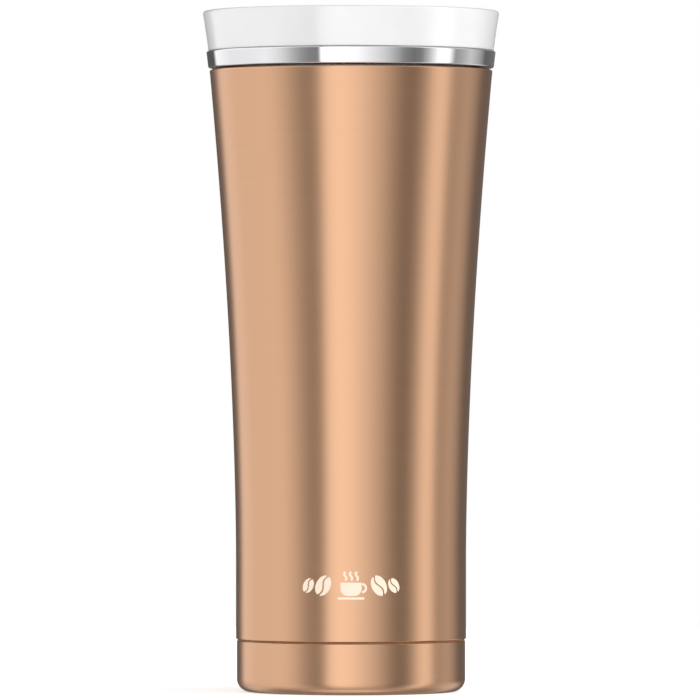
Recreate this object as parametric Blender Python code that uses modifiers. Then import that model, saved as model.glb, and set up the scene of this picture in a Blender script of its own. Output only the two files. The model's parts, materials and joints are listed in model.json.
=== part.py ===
"""Insulated tumbler with a screw lid and a sliding drink closure.

A double-walled steel body narrows from its mouth to its base. The lid screws into the neck, and a
slider on its deck opens the sip hole and the vent together. Metres, +Z up, origin at the centre of
the foot, the sip hole at the front (-Y).
"""

import math

import bmesh
import bpy
from mathutils import Matrix

MM = 0.001

# ---------------------------------------------------------------- driving dimensions
HEIGHT = 203.0 * MM  # foot to drinking lip
LIP_RADIUS = 44.2 * MM  # widest point, at the drinking lip
MOUTH_RADIUS = 42.25 * MM  # body, outside, at its mouth
WAIST_RADIUS = 34.35 * MM  # body, outside, below the flare
FLARE_START = 39.0 * MM  # height where the body begins to widen
FLARE_POWER = 1.7
BODY_TOP = 185.5 * MM  # height of the body's lip
BASE_TOP = 15.15 * MM  # height of the base cup's rim
BASE_RADIUS = 34.07 * MM

SHEET = 0.5 * MM  # steel sheet of the body
BASE_SHEET = 0.6 * MM
WALL_DEPTH = 5.0 * MM  # outer face of the body to inner face of the liner
GAP = 0.3 * MM  # clearance kept between separate pieces

LEAD = 6.0 * MM  # rise of the neck thread in one turn
THREAD_TURNS = 1.25

SLIDE_TRAVEL = 9.0 * MM

SEGMENTS = 40  # facets round a large turned piece
SMALL_SEGMENTS = 24
SMOOTH_ANGLE = 35.0  # faces that meet at a smaller angle, in degrees, are shaded as one surface

# ---------------------------------------------------------------- heights and radii worked out from them
NECK_INNER = MOUTH_RADIUS - 3.85 * MM
NECK_OUTER = NECK_INNER + SHEET
SEAT_OUTER = NECK_OUTER - 1.5 * MM  # cylinder that the lid gasket wipes
SEAT_TOP = BODY_TOP - 14.6 * MM
LEDGE_TOP = SEAT_TOP - 2.1 * MM
LEDGE_BOTTOM = LEDGE_TOP - 1.1 * MM
LINER_SEAM = 22.0 * MM  # where the liner's tube meets its bottom

JOGGLE_RADIUS = BASE_RADIUS - BASE_SHEET - 0.37 * MM  # shell inside the base cup
JOGGLE_TOP = BASE_TOP + 0.55 * MM
SHELL_BOTTOM = 6.5 * MM

RING_BOTTOM = BODY_TOP + 0.6 * MM
RING_TOP = RING_BOTTOM + 4.9 * MM
DECK_TOP = RING_TOP + 0.6 * MM
DECK_BOTTOM = DECK_TOP - 1.6 * MM
PLUG_OUTER = NECK_INNER - 1.8 * MM
PLUG_INNER = PLUG_OUTER - 3.0 * MM
PLUG_BOTTOM = LEDGE_TOP + 0.1 * MM
FLANGE_TOP = RING_BOTTOM + 1.2 * MM
THREAD_LOW = BODY_TOP - 10.5 * MM  # start of the neck's thread
THREAD_OFFSET = 1.7 * MM  # the lid's thread runs this far under the neck's

CARRIAGE_TOP = DECK_BOTTOM - 1.7 * MM
CARRIAGE_BOTTOM = CARRIAGE_TOP - 1.4 * MM
SEAL_BOTTOM = CARRIAGE_TOP + GAP
SEAL_TOP = DECK_BOTTOM - GAP
BUTTON_BOTTOM = DECK_TOP + GAP
BUTTON_TOP = BUTTON_BOTTOM + 2.2 * MM

SIP_CENTRE = (0.0, -27.2 * MM)
SIP_HALF = (7.0 * MM, 2.8 * MM)
VENT_CENTRE = (13.0 * MM, 12.0 * MM)
VENT_RADIUS = 1.3 * MM
LEG_HALF = (2.1 * MM, 2.0 * MM)  # leg that joins the button to the carriage
LEG_CENTRE = (0.0, 2.0 * MM)
BUTTON_HALF = (8.9 * MM, 13.5 * MM)
BUTTON_CENTRE = (0.0, 3.5 * MM)
GRIP_CENTRE = (0.0, -4.0 * MM)


# ---------------------------------------------------------------- scene, materials
def clear_scene():
    for old in list(bpy.data.objects):
        bpy.data.objects.remove(old, do_unlink=True)


def new_collection(name):
    made = bpy.data.collections.new(name)
    bpy.context.scene.collection.children.link(made)
    return made


def material(name, finish):
    """A Principled material from a (colour, roughness, metallic) finish."""
    colour, roughness, metallic = finish
    made = bpy.data.materials.new(name)
    made.use_nodes = True
    shader = made.node_tree.nodes["Principled BSDF"]
    shader.inputs["Base Color"].default_value = (*colour, 1.0)
    shader.inputs["Roughness"].default_value = roughness
    shader.inputs["Metallic"].default_value = metallic
    made.diffuse_color = (*colour, 1.0)
    return made


clear_scene()
TUMBLER = new_collection("insulated_tumbler")
CUTTERS = new_collection("cutters")

COPPER_LACQUER = ((0.76, 0.45, 0.28), 0.3, 1.0)
SATIN_STEEL = ((0.62, 0.62, 0.63), 0.35, 1.0)
POLISHED_STEEL = ((0.8, 0.8, 0.82), 0.08, 1.0)
ALUMINIUM_FOIL = ((0.85, 0.85, 0.86), 0.2, 1.0)
GETTER_ALLOY = ((0.2, 0.2, 0.22), 0.8, 0.0)
SOLDER_GLASS = ((0.25, 0.2, 0.15), 0.25, 0.0)
WHITE_PLASTIC = ((0.9, 0.89, 0.9), 0.25, 0.0)
GREY_ELASTOMER = ((0.35, 0.35, 0.36), 0.6, 0.0)
CLEAR_SILICONE = ((0.75, 0.76, 0.77), 0.5, 0.0)


# ---------------------------------------------------------------- modelling helpers
def add_object(name, data, finish=None):
    """Links a part with its own material, or, without a finish, a cutter."""
    made = bpy.data.objects.new(name, data)
    if finish:
        TUMBLER.objects.link(made)
        data.materials.append(material(name, finish))
    else:
        CUTTERS.objects.link(made)
        made.hide_render = True
        made.display_type = "WIRE"
    return made


def arc(centre, radius, start, end, steps):
    """Points (r, z) on an arc, angles in degrees, measured from +r towards +z."""
    points = []
    for step in range(steps + 1):
        angle = math.radians(start + (end - start) * step / steps)
        points.append((centre[0] + radius * math.cos(angle), centre[1] + radius * math.sin(angle)))
    return points


def side_radius(z):
    """Outside radius of the body: straight at the waist, then widening along a power curve."""
    share = max(0.0, (z - FLARE_START) / (BODY_TOP - FLARE_START))
    return WAIST_RADIUS + (MOUTH_RADIUS - WAIST_RADIUS) * share**FLARE_POWER


def side_rows(top, bottom, inset, rows):
    """Points down the body's side, inset from its outside face."""
    heights = [top + (bottom - top) * row / rows for row in range(rows + 1)]
    return [(side_radius(z) - inset, z) for z in heights]


def turned(name, profile, finish, closed=True, sheet=None, steps=SEGMENTS):
    """Revolves (r, z) points about the object's Z axis. The profile runs down its outer side. A
    closed profile makes a solid ring; an open one from axis to axis makes a solid; with sheet it
    is a shell that thickens inwards."""
    mesh = bpy.data.meshes.new(name)
    edges = [(i, i + 1) for i in range(len(profile) - 1)]
    if closed:
        edges.append((len(profile) - 1, 0))
    mesh.from_pydata([(r, 0.0, z) for r, z in profile], edges, [])
    made = add_object(name, mesh, finish)
    screw = made.modifiers.new("revolve", "SCREW")
    screw.axis = "Z"
    screw.steps = screw.render_steps = steps
    screw.use_merge_vertices = True
    screw.merge_threshold = 0.001 * MM
    if sheet:
        wall = made.modifiers.new("sheet", "SOLIDIFY")
        wall.thickness = sheet
        wall.offset = -1.0
        wall.use_even_offset = True
    return made


def as_mesh(shape, finish):
    """Replaces a curve by the mesh it evaluates to, with its caps welded on."""
    bpy.context.view_layer.update()
    evaluated = shape.evaluated_get(bpy.context.evaluated_depsgraph_get())
    mesh = bpy.data.meshes.new_from_object(evaluated)
    welded = bmesh.new()
    welded.from_mesh(mesh)
    bmesh.ops.remove_doubles(welded, verts=welded.verts, dist=0.001 * MM)
    welded.to_mesh(mesh)
    welded.free()
    name = shape.name
    place = shape.matrix_world.copy()
    bpy.data.objects.remove(shape, do_unlink=True)
    made = add_object(name, mesh, finish)
    made.matrix_world = place
    return made


def plate(name, outline, low, high, finish=None):
    """A flat outline of (x, y) points, filled and raised from low to high."""
    curve = bpy.data.curves.new(name, "CURVE")
    curve.dimensions = "2D"
    curve.fill_mode = "BOTH"
    curve.extrude = (high - low) / 2
    spline = curve.splines.new("POLY")
    spline.points.add(len(outline) - 1)
    for point, (x, y) in zip(spline.points, outline):
        point.co = (x, y, 0.0, 1.0)
    spline.use_cyclic_u = True
    shape = bpy.data.objects.new(name, curve)
    CUTTERS.objects.link(shape)
    shape.location.z = (low + high) / 2
    return as_mesh(shape, finish)


def rounded(centre, half, corner, steps=3):
    """Outline of a rectangle with round corners."""
    points = []
    for turn, (sx, sy) in enumerate(((1, 1), (-1, 1), (-1, -1), (1, -1))):
        middle = (
            centre[0] + sx * (half[0] - corner),
            centre[1] + sy * (half[1] - corner),
        )
        points += arc(middle, corner, 90 * turn, 90 * turn + 90, steps)
    return points


def box(name, low, high):
    """A cutter or boss: a block between two corners."""
    block = bmesh.new()
    bmesh.ops.create_cube(block, size=1.0)
    size = [b - a for a, b in zip(low, high)]
    middle = [(a + b) / 2 for a, b in zip(low, high)]
    bmesh.ops.transform(
        block,
        matrix=Matrix.Translation(middle) @ Matrix.Diagonal((*size, 1.0)),
        verts=block.verts,
    )
    mesh = bpy.data.meshes.new(name)
    block.to_mesh(mesh)
    block.free()
    return add_object(name, mesh)


def post(name, centre, radius, low, high, finish=None):
    """An upright cylinder."""
    shape = bmesh.new()
    bmesh.ops.create_cone(
        shape,
        cap_ends=True,
        segments=SMALL_SEGMENTS,
        radius1=radius,
        radius2=radius,
        depth=high - low,
        matrix=Matrix.Translation((*centre, (low + high) / 2)),
    )
    mesh = bpy.data.meshes.new(name)
    shape.to_mesh(mesh)
    shape.free()
    return add_object(name, mesh, finish)


def thread(name, root, tip, start):
    """A helical ridge from radius root to radius tip: one trapezoid spun round the axis. It starts
    half a facet round, so that its corners fall between those of the wall it stands on."""
    half_root, half_tip = 1.1 * MM, 0.45 * MM
    section = (
        (root, start - half_root),
        (tip, start - half_tip),
        (tip, start + half_tip),
        (root, start + half_root),
    )
    ridge = bmesh.new()
    face = ridge.faces.new([ridge.verts.new((r, 0.0, z)) for r, z in section])
    bmesh.ops.rotate(
        ridge,
        cent=(0.0, 0.0, 0.0),
        matrix=Matrix.Rotation(math.pi / SEGMENTS, 3, "Z"),
        verts=ridge.verts,
    )
    bmesh.ops.spin(
        ridge,
        geom=[face, *face.edges, *face.verts],
        cent=(0.0, 0.0, 0.0),
        axis=(0.0, 0.0, 1.0),
        dvec=(0.0, 0.0, LEAD / SEGMENTS),
        angle=2 * math.pi * THREAD_TURNS,
        steps=round(SEGMENTS * THREAD_TURNS),
        use_merge=False,
    )
    bmesh.ops.recalc_face_normals(ridge, faces=ridge.faces)
    mesh = bpy.data.meshes.new(name)
    ridge.to_mesh(mesh)
    ridge.free()
    return add_object(name, mesh)


def combine(target, operation, *others):
    for other in others:
        step = target.modifiers.new(other.name, "BOOLEAN")
        step.operation = operation
        step.object = other
        step.solver = "EXACT"


def settle():
    """Applies each part's modifiers and shades its round faces smooth."""
    bpy.context.view_layer.update()
    graph = bpy.context.evaluated_depsgraph_get()
    for part in TUMBLER.objects:
        mesh = bpy.data.meshes.new_from_object(part.evaluated_get(graph))
        mesh.shade_smooth()
        mesh.set_sharp_from_angle(angle=math.radians(SMOOTH_ANGLE))
        mesh.name = part.name
        part.modifiers.clear()
        part.data = mesh


# ---------------------------------------------------------------- the vacuum body
def make_outer_shell():
    """Outer steel wall: the curled lip, the flared side, and the narrower end inside the base cup."""
    curl = 0.9 * MM
    lip_inner = NECK_OUTER + 0.4 * MM
    profile = [(lip_inner, BODY_TOP)]
    profile += arc((MOUTH_RADIUS - curl, BODY_TOP - curl), curl, 90, 0, 3)
    profile += side_rows(BODY_TOP - 4 * curl, JOGGLE_TOP + 0.5 * MM, 0.0, 6)
    profile += [
        (WAIST_RADIUS - 0.3 * MM, JOGGLE_TOP + 0.1 * MM),
        (JOGGLE_RADIUS, JOGGLE_TOP),
        (JOGGLE_RADIUS, SHELL_BOTTOM),
    ]
    turned("outer_shell", profile, COPPER_LACQUER, closed=False, sheet=SHEET)


def make_inner_liner():
    """Drink vessel's tube: threaded neck, gasket seat, ledge and tapered wall."""
    inset = WALL_DEPTH - SHEET
    profile = [
        (NECK_OUTER, BODY_TOP - GAP),
        (NECK_OUTER, SEAT_TOP + 1.0 * MM),
        (SEAT_OUTER, SEAT_TOP),
        (SEAT_OUTER, LEDGE_TOP),
    ]
    profile += side_rows(LEDGE_BOTTOM, LINER_SEAM, inset, 5)
    liner = turned("inner_liner", profile, SATIN_STEEL, closed=False, sheet=SHEET)
    ridge = thread("neck_thread", NECK_INNER + 0.3 * MM, NECK_INNER - 1.4 * MM, THREAD_LOW)
    combine(liner, "UNION", ridge)


def make_liner_bottom():
    """Dished floor of the drink vessel, welded under the liner's tube."""
    corner = 6.0 * MM
    floor = 12.5 * MM
    radius = WAIST_RADIUS - WALL_DEPTH + SHEET
    profile = [(radius, LINER_SEAM - GAP)]
    profile += arc((radius - corner, floor + corner), corner, 0, -90, 4)
    profile += [(12.0 * MM, floor), (0.0, floor + 0.5 * MM)]
    turned("liner_bottom", profile, SATIN_STEEL, closed=False, sheet=SHEET)


def make_foil():
    """Radiation shield in the vacuum: a sleeve round the liner and a disc under it."""
    leaf = 0.25 * MM
    sleeve = side_rows(163.0 * MM, 24.0 * MM, WALL_DEPTH - SHEET - 0.7 * MM, 4)
    turned("foil_sleeve", sleeve, ALUMINIUM_FOIL, closed=False, sheet=leaf)
    high, low, radius = 11.9 * MM, 11.6 * MM, 25.0 * MM
    disc = [(0.0, high), (radius, high), (radius, low), (0.0, low)]
    turned("foil_disc", disc, ALUMINIUM_FOIL, closed=False, steps=SMALL_SEGMENTS)


def make_vacuum_bottom():
    """Pressed plate that closes the vacuum, with the evacuation hole in its dimple."""
    radius = JOGGLE_RADIUS - SHEET - 0.4 * MM
    plate_top, dimple_top = 8.8 * MM, 10.0 * MM
    profile = [
        (1.0 * MM, dimple_top),
        (4.5 * MM, dimple_top),
        (5.8 * MM, plate_top),
        (radius - 1.4 * MM, plate_top),
        (radius, plate_top - 1.0 * MM),
        (radius, SHELL_BOTTOM + 0.1 * MM),
    ]
    turned("vacuum_bottom", profile, SATIN_STEEL, closed=False, sheet=SHEET)


def make_seal_bead():
    """Solder glass that closes the evacuation hole from below."""
    stem, head = 0.7 * MM, 4.0 * MM
    profile = [
        (0.0, 10.6 * MM),
        (stem, 10.4 * MM),
        (stem, 9.2 * MM),
        (head, 9.2 * MM),
        (head + 0.2 * MM, 8.4 * MM),
        (2.5 * MM, 7.9 * MM),
        (0.0, 7.8 * MM),
    ]
    turned("seal_bead", profile, SOLDER_GLASS, closed=False, steps=SMALL_SEGMENTS)


def make_getter():
    """Getter pellet in its steel cup, on top of the vacuum bottom."""
    offset = 16.0 * MM
    cup_radius, cup_top, cup_bottom = 5.0 * MM, 10.7 * MM, 9.1 * MM
    cup = [(cup_radius, cup_top), (cup_radius, cup_bottom), (0.0, cup_bottom)]
    clip = turned(
        "getter_cup", cup, SATIN_STEEL, closed=False, sheet=0.4 * MM, steps=SMALL_SEGMENTS
    )
    pellet_radius, pellet_top, pellet_bottom = 4.2 * MM, 11.2 * MM, 9.8 * MM
    disc = [
        (0.0, pellet_top),
        (pellet_radius - 0.2 * MM, pellet_top),
        (pellet_radius, pellet_top - 0.2 * MM),
        (pellet_radius, pellet_bottom),
        (0.0, pellet_bottom),
    ]
    pellet = turned("getter_pellet", disc, GETTER_ALLOY, closed=False, steps=SMALL_SEGMENTS)
    for piece in (clip, pellet):
        piece.location.x = offset


def make_base_cup():
    """Outer cup over the shell's lower end, with a round edge and a recessed underside."""
    corner = 3.2 * MM
    foot_inner, recess = 25.0 * MM, 1.8 * MM
    profile = [(BASE_RADIUS - 0.2 * MM, BASE_TOP), (BASE_RADIUS, BASE_TOP - 0.3 * MM)]
    profile += arc((BASE_RADIUS - corner, corner), corner, 0, -90, 4)
    profile += [
        (foot_inner, 0.0),
        (foot_inner - 1.0 * MM, recess),
        (0.0, recess),
    ]
    turned("base_cup", profile, COPPER_LACQUER, closed=False, sheet=BASE_SHEET)


# ---------------------------------------------------------------- the lid
def make_lid_cover():
    """Upper lid moulding: drinking lip, flared wall, deck, trim-ring skirt and slider rails."""
    lip = 0.7 * MM
    skirt_outer, skirt_inner = MOUTH_RADIUS - 0.85 * MM, MOUTH_RADIUS - 2.35 * MM
    skirt_bottom = FLANGE_TOP + GAP
    boss_outer, boss_inner = PLUG_OUTER + 1.9 * MM, PLUG_OUTER + 0.5 * MM
    boss_bottom = FLANGE_TOP + 1.7 * MM
    well = 40.6 * MM
    profile = [(0.0, DECK_TOP)]
    profile += arc((well - 2 * MM, DECK_TOP + 2 * MM), 2 * MM, -90, -5, 3)
    profile += [(41.5 * MM, HEIGHT - 4.6 * MM), (42.75 * MM, HEIGHT - 1.0 * MM)]
    profile += arc((LIP_RADIUS - lip, HEIGHT - lip), lip, 135, 0, 3)
    profile += [
        (LIP_RADIUS - 0.05 * MM, HEIGHT - 1.6 * MM),
        (LIP_RADIUS - 0.65 * MM, HEIGHT - 4.0 * MM),
        (42.68 * MM, RING_TOP + 0.8 * MM),
        (42.4 * MM, RING_TOP + 0.35 * MM),
        (skirt_outer, RING_TOP + 0.35 * MM),
        (skirt_outer, skirt_bottom),
        (skirt_inner, skirt_bottom),
        (skirt_inner, DECK_BOTTOM),
        (boss_outer, DECK_BOTTOM),
        (boss_outer, boss_bottom),
        (boss_inner, boss_bottom),
        (boss_inner, DECK_BOTTOM),
        (0.0, DECK_BOTTOM),
    ]
    cover = turned("lid_cover", profile, WHITE_PLASTIC, closed=False)
    rails = []
    for side, name in ((1, "rail_right"), (-1, "rail_left")):
        ends = sorted((side * (BUTTON_HALF[0] + GAP), side * (BUTTON_HALF[0] + GAP + 1.6 * MM)))
        rails.append(
            box(
                name,
                (ends[0], -12.0 * MM, DECK_TOP - 0.6 * MM),
                (ends[1], 28.0 * MM, BUTTON_TOP - 0.5 * MM),
            )
        )
    combine(cover, "UNION", *rails)
    below, above = DECK_BOTTOM - 0.5 * MM, DECK_TOP + 0.5 * MM
    sip = plate("sip_hole", rounded(SIP_CENTRE, SIP_HALF, 2.7 * MM), below, above)
    vent = post("vent_hole", VENT_CENTRE, VENT_RADIUS, below, above)
    slot_half = (LEG_HALF[0] + GAP, LEG_HALF[1] + SLIDE_TRAVEL / 2 + 0.4 * MM)
    slot_centre = (LEG_CENTRE[0], LEG_CENTRE[1] + SLIDE_TRAVEL / 2)
    slot = box(
        "leg_slot",
        (slot_centre[0] - slot_half[0], slot_centre[1] - slot_half[1], below),
        (slot_centre[0] + slot_half[0], slot_centre[1] + slot_half[1], above),
    )
    combine(cover, "DIFFERENCE", sip, vent, slot)


def make_trim_ring():
    """Polished steel band round the lid's skirt, its edges turned in."""
    top_radius, bottom_radius = 43.15 * MM, 42.66 * MM
    inner = MOUTH_RADIUS - 0.45 * MM
    profile = [
        (inner, RING_TOP),
        (top_radius - 0.35 * MM, RING_TOP),
        (top_radius, RING_TOP - 0.6 * MM),
        (bottom_radius, RING_BOTTOM + 0.35 * MM),
        (bottom_radius - 0.3 * MM, RING_BOTTOM),
        (inner, RING_BOTTOM),
    ]
    turned("trim_ring", profile, POLISHED_STEEL, closed=False, sheet=0.4 * MM)


def make_lid_plug():
    """Lower lid moulding: flange under the trim ring, threaded tube, gasket groove, tea hook."""
    groove = PLUG_OUTER - 1.7 * MM
    toe = PLUG_OUTER - 0.9 * MM
    groove_top, groove_bottom = PLUG_BOTTOM + 3.3 * MM, PLUG_BOTTOM + 1.0 * MM
    flange = MOUTH_RADIUS - 1.05 * MM
    neck_top = DECK_BOTTOM - 0.4 * MM
    profile = [
        (PLUG_OUTER - 0.2 * MM, neck_top),
        (PLUG_OUTER - 0.2 * MM, FLANGE_TOP),
        (flange, FLANGE_TOP),
        (flange, RING_BOTTOM),
        (PLUG_OUTER, RING_BOTTOM),
        (PLUG_OUTER, groove_top + 0.4 * MM),
        (PLUG_OUTER - 0.4 * MM, groove_top),
        (groove, groove_top),
        (groove, groove_bottom),
        (toe, groove_bottom),
        (toe, PLUG_BOTTOM + 0.3 * MM),
        (toe - 0.3 * MM, PLUG_BOTTOM),
        (PLUG_INNER, PLUG_BOTTOM),
        (PLUG_INNER, neck_top),
    ]
    plug = turned("lid_plug", profile, WHITE_PLASTIC)
    ridge = thread(
        "plug_thread", PLUG_OUTER - 0.9 * MM, PLUG_OUTER + 1.3 * MM, THREAD_LOW - THREAD_OFFSET
    )
    root, reach, base = -PLUG_INNER - 0.6 * MM, -PLUG_INNER + 4.2 * MM, PLUG_BOTTOM + 0.6 * MM
    half_width = 1.5 * MM
    arm = box("hook_arm", (root, -half_width, base), (reach, half_width, base + 1.7 * MM))
    tip = box(
        "hook_tip",
        (reach - 1.2 * MM, -half_width + 0.2 * MM, base + 0.5 * MM),
        (reach - 0.1 * MM, half_width - 0.2 * MM, base + 4.0 * MM),
    )
    combine(plug, "UNION", ridge, arm, tip)


def make_cover_seal():
    """O-ring squeezed between the two lid mouldings."""
    cord = 0.55 * MM
    centre = (PLUG_OUTER + 1.1 * MM, FLANGE_TOP + GAP + cord)
    profile = arc(centre, cord, 90, -210, 5)
    turned("cover_seal", profile, CLEAR_SILICONE)


def make_lid_gasket():
    """Silicone ring round the plug's foot, with a skirt that meets the liner's ledge."""
    inner, outer, skirt = PLUG_OUTER - 1.4 * MM, PLUG_OUTER, PLUG_OUTER - 0.6 * MM
    high, low = PLUG_BOTTOM + 3.0 * MM, PLUG_BOTTOM + 1.3 * MM
    profile = [
        (inner, high),
        (outer - 0.5 * MM, high),
        (outer, high - 0.7 * MM),
        (outer, PLUG_BOTTOM + 0.4 * MM),
        (skirt, PLUG_BOTTOM),
        (skirt, low),
        (inner, low),
    ]
    turned("lid_gasket", profile, CLEAR_SILICONE)


# ---------------------------------------------------------------- the slider
def make_slide_button():
    """Slider plate between the rails, with the barbed leg that passes through the deck."""
    button = plate(
        "slide_button",
        rounded(BUTTON_CENTRE, BUTTON_HALF, 2.5 * MM),
        BUTTON_BOTTOM,
        BUTTON_TOP,
        WHITE_PLASTIC,
    )
    barb_top = CARRIAGE_BOTTOM - GAP
    leg = box(
        "leg",
        (LEG_CENTRE[0] - LEG_HALF[0], LEG_CENTRE[1] - LEG_HALF[1], barb_top - 0.5 * MM),
        (LEG_CENTRE[0] + LEG_HALF[0], LEG_CENTRE[1] + LEG_HALF[1], BUTTON_BOTTOM + 0.8 * MM),
    )
    barb = box(
        "barb",
        (LEG_CENTRE[0] - LEG_HALF[0] + 0.1 * MM, LEG_CENTRE[1] - LEG_HALF[1] - 0.9 * MM, barb_top - 0.9 * MM),
        (LEG_CENTRE[0] + LEG_HALF[0] - 0.1 * MM, LEG_CENTRE[1] + LEG_HALF[1] + 0.9 * MM, barb_top),
    )
    combine(button, "UNION", leg, barb)


def make_slide_grip():
    """Soft thumb grip on the slider, with three ribs across it."""
    half = (6.5 * MM, 4.2 * MM)
    low = BUTTON_TOP + GAP
    grip = plate(
        "slide_grip", rounded(GRIP_CENTRE, half, 1.8 * MM), low, low + 2.2 * MM, GREY_ELASTOMER
    )
    ribs = []
    for number in range(3):
        y = GRIP_CENTRE[1] + (number - 1) * 2.4 * MM
        ribs.append(
            box(
                f"grip_rib_{number}",
                (-5.2 * MM, y - 0.5 * MM, low + 1.6 * MM),
                (5.2 * MM, y + 0.5 * MM, low + 3.2 * MM),
            )
        )
    combine(grip, "UNION", *ribs)


def make_slide_carriage():
    """Carrier under the deck that holds the three seals against it."""
    paddle, bar, arm = 9.2 * MM, 5.2 * MM, 16.0 * MM
    front, waist, arm_front, back = -31.4 * MM, -22.8 * MM, 9.0 * MM, 15.5 * MM
    outline = [
        (-paddle, front),
        (paddle, front),
        (paddle, waist),
        (bar, waist),
        (bar, arm_front),
        (arm, arm_front),
        (arm, back),
        (-bar, back),
        (-bar, waist),
        (-paddle, waist),
    ]
    carriage = plate("slide_carriage", outline, CARRIAGE_BOTTOM, CARRIAGE_TOP, WHITE_PLASTIC)
    combine(carriage, "DIFFERENCE", leg_hole("carriage_hole", CARRIAGE_BOTTOM, CARRIAGE_TOP))


def leg_hole(name, low, high):
    clear = 0.5 * MM
    return box(
        name,
        (LEG_CENTRE[0] - LEG_HALF[0] - GAP, LEG_CENTRE[1] - LEG_HALF[1] - GAP, low - clear),
        (LEG_CENTRE[0] + LEG_HALF[0] + GAP, LEG_CENTRE[1] + LEG_HALF[1] + GAP, high + clear),
    )


def make_slider_seals():
    """Silicone pads under the deck: one for the sip hole, one round the leg, one for the vent."""
    sip_half = (SIP_HALF[0] + 1.6 * MM, SIP_HALF[1] + 1.0 * MM)
    sip_outline = rounded(SIP_CENTRE, sip_half, 2.4 * MM)
    plate("sip_seal", sip_outline, SEAL_BOTTOM, SEAL_TOP, CLEAR_SILICONE)
    strip_centre, strip_half = (0.0, 2.1 * MM), (4.6 * MM, 13.1 * MM)
    strip = plate(
        "slot_seal",
        rounded(strip_centre, strip_half, 1.5 * MM),
        SEAL_BOTTOM,
        SEAL_TOP,
        CLEAR_SILICONE,
    )
    combine(strip, "DIFFERENCE", leg_hole("strip_hole", SEAL_BOTTOM, SEAL_TOP))
    post("vent_seal", VENT_CENTRE, 2.4 * MM, SEAL_BOTTOM, SEAL_TOP, CLEAR_SILICONE)


# ---------------------------------------------------------------- build
make_outer_shell()
make_inner_liner()
make_liner_bottom()
make_foil()
make_vacuum_bottom()
make_seal_bead()
make_getter()
make_base_cup()
make_lid_cover()
make_trim_ring()
make_lid_plug()
make_cover_seal()
make_lid_gasket()
make_slide_button()
make_slide_grip()
make_slide_carriage()
make_slider_seals()
settle()
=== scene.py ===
# %% [markdown]
# # Finishing an insulated tumbler with a screw lid
#
# The tumbler comes in as a fixed frame of plain solids, already at its real size. This lesson gives it
# its finish: every piece is turned or moulded again with fine edges, and gets a material of its own.
# Most of it is round about one axis, so one lathe helper makes most of the pieces.

# %% Load the frame
import json
import math

import bmesh
import bpy
from mathutils import Matrix, Vector


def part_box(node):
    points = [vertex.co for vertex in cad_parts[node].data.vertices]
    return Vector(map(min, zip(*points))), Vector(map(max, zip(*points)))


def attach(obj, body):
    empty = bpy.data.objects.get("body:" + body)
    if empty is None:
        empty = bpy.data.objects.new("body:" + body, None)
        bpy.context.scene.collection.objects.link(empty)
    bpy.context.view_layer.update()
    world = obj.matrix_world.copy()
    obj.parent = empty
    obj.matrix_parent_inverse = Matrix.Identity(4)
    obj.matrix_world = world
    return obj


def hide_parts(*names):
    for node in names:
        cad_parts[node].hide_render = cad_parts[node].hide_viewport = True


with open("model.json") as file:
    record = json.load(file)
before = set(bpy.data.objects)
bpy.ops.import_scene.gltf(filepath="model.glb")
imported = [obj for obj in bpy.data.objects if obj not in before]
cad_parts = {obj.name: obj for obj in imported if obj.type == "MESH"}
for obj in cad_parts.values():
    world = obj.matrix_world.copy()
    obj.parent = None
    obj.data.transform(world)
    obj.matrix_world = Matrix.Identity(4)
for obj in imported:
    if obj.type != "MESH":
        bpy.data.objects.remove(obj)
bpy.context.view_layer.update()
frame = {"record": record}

MM = 0.001

# %% [markdown]
# ## Sizes from the frame
#
# A piece fits when its sizes come from the solid that it stands for. The box of each node gives its
# lowest and highest point and, because the parts are round, its radius. The few sizes that no box
# gives, such as a wall's thickness, are named here in millimetres.

# %% Read the sizes
def low(node):
    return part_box(node)[0].z


def high(node):
    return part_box(node)[1].z


def radius_of(node):
    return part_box(node)[1].x


def footprint(node):
    """Centre and half size of a node's box, seen from above."""
    lowest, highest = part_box(node)
    centre = ((lowest.x + highest.x) / 2, (lowest.y + highest.y) / 2)
    return centre, ((highest.x - lowest.x) / 2, (highest.y - lowest.y) / 2)


HEIGHT = high("lid_cover")
LIP_RADIUS = radius_of("lid_cover")
MOUTH_RADIUS = radius_of("outer_shell")
BODY_TOP = high("outer_shell")
WAIST_RADIUS = radius_of("base_cup") + 0.28 * MM
FLARE_START = 39.0 * MM
FLARE_POWER = 1.7
SHEET = 0.5 * MM
WALL_DEPTH = 5.0 * MM
LEAD = 6.0 * MM
THREAD_TURNS = 1.25
print("height", round(HEIGHT / MM, 1), "mm, lip", round(2 * LIP_RADIUS / MM, 1), "mm across")

# %% [markdown]
# ## Riding on the frame
#
# A finished piece stands for one node. It rides on that node's body, so it moves with it, and takes a
# material. Reading the body from the record keeps the two from ever disagreeing. A detail too fine for
# a node of its own only rides along.

# %% Stand a piece in for its node
RECORD = frame["record"]
BODY_OF = {
    node: body for body, nodes in RECORD["behaviour"]["bodies"].items() for node in nodes
}


def add_detail(piece, body, finish):
    """Gives a piece its material and lets it move with a body."""
    piece.data.materials.clear()
    piece.data.materials.append(finish)
    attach(piece, body)
    print(f"{piece.name}: {len(piece.data.polygons)} faces on {body}")


def stand_for(piece, node, finish):
    """The same for a piece that stands for a node, which it hides."""
    add_detail(piece, BODY_OF[node], finish)
    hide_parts(node)


# %% [markdown]
# ## Outlines
#
# A turned piece is decided by half of its section. Arcs give the rounded corners that catch the
# light, and `sheet` gives a pressed part its second side, an even distance inside the first, with
# the cut edges rounded over as a burnishing wheel leaves them.

# %% Draw outlines
def arc(centre, radius, start, end, steps=8):
    """Points (r, z) on an arc; angles in degrees, from +r towards +z."""
    angles = [math.radians(start + (end - start) * step / steps) for step in range(steps + 1)]
    return [(centre[0] + radius * math.cos(a), centre[1] + radius * math.sin(a)) for a in angles]


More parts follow.
